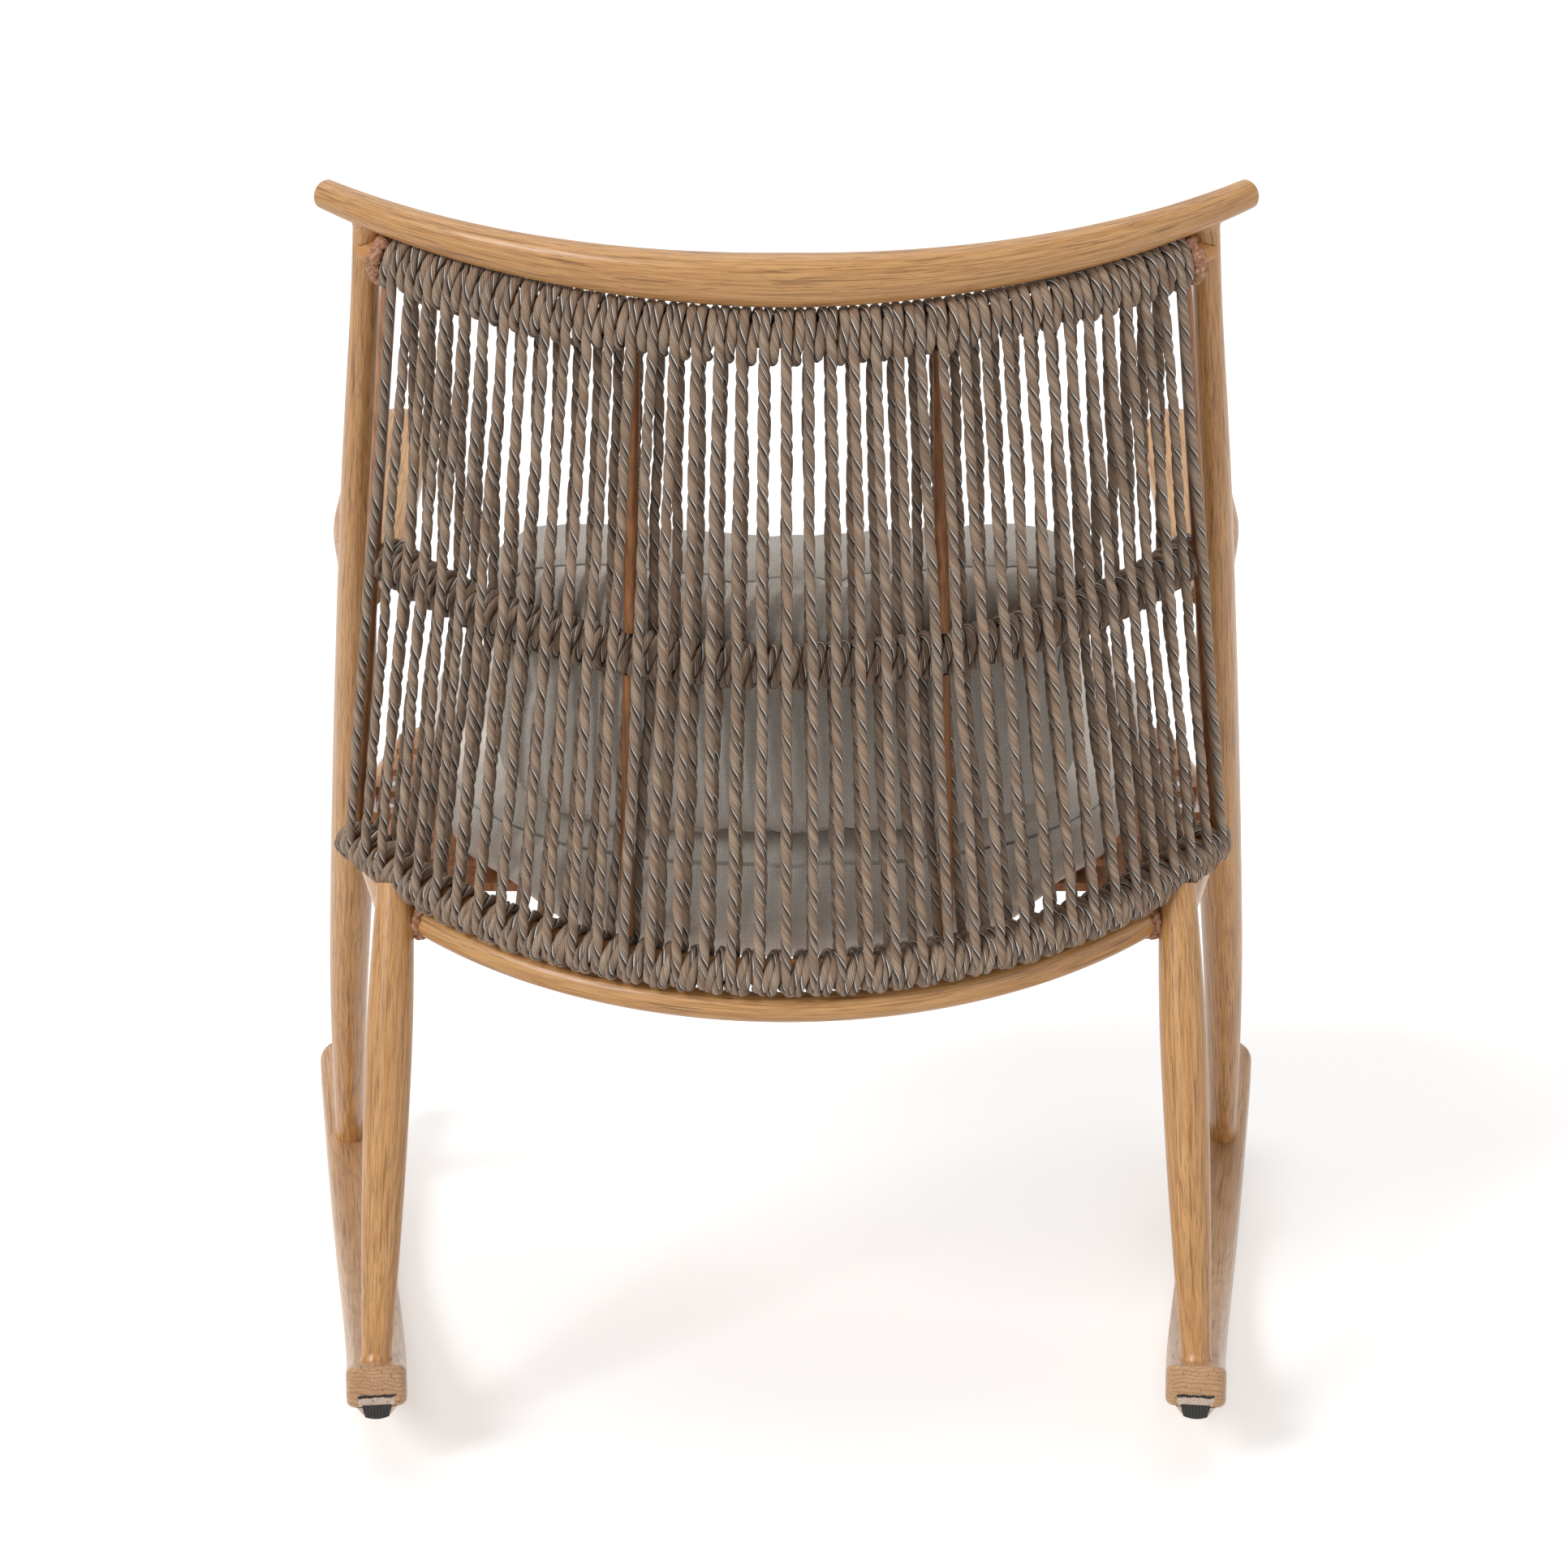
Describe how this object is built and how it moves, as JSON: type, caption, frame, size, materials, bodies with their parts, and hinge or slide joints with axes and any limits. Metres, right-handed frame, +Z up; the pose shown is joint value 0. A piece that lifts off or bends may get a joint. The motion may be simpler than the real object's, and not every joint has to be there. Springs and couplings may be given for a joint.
{
  "type": "outdoor rocking chair",
  "caption": "Outdoor rocking chair with bent runners, paddle arms, a wood-look tube frame, a rope-strung barrel back, and a loose seat cushion and back cushion.",
  "frame": {"origin": "midway between the runners, at the level of their lowest points", "axes": "+Z up, -Y towards the sitter's front, +X towards the sitter's left"},
  "size_m": [0.7166, 0.6176, 0.851],
  "materials": {
    "frame_wood": "satin wood-look coating",
    "runner_wood": "satin",
    "dark_frame": "satin",
    "rope": "matte twisted cord",
    "cushion_cloth": "matte weave",
    "slat_metal": "satin",
    "steel": "brushed",
    "rubber": "matte"
  },
  "bodies": {
    "frame": {"crest_rail": "frame_wood", "left_front_leg": "frame_wood", "right_front_leg": "frame_wood", "left_rear_leg": "frame_wood", "right_rear_leg": "frame_wood", "left_rocker": "runner_wood", "right_rocker": "runner_wood", "left_rear_pad": "rubber", "right_rear_pad": "rubber", "rocker_screws": "steel", "seat_rear_rail": "frame_wood", "seat_front_rail": "frame_wood", "left_seat_side_rail": "frame_wood", "right_seat_side_rail": "frame_wood", "seat_slats": "slat_metal", "slat_screws": "steel", "back_top_rail": "dark_frame", "back_middle_rail": "dark_frame", "back_bottom_rail": "dark_frame", "left_back_post": "dark_frame", "right_back_post": "dark_frame", "left_back_strut": "dark_frame", "right_back_strut": "dark_frame", "top_rail_wrap": "rope", "middle_rail_wrap": "rope", "bottom_rail_wrap": "rope", "rear_ropes": "rope", "front_upper_ropes": "rope", "front_lower_ropes": "rope", "left_arm": "frame_wood", "right_arm": "frame_wood"},
    "seat_cushion": {"seat_cushion": "cushion_cloth"},
    "back_cushion": {"back_cushion": "cushion_cloth"}
  },
  "joints": [
    {"name": "seat_cushion_lift", "type": "slide", "parent": "frame", "child": "seat_cushion", "axis": [0, 0, 1], "range_m": [0, 0.1]},
    {"name": "back_cushion_lift", "type": "slide", "parent": "seat_cushion", "child": "back_cushion", "axis": [0, 0, 1], "range_m": [0, 0.4]}
  ]
}
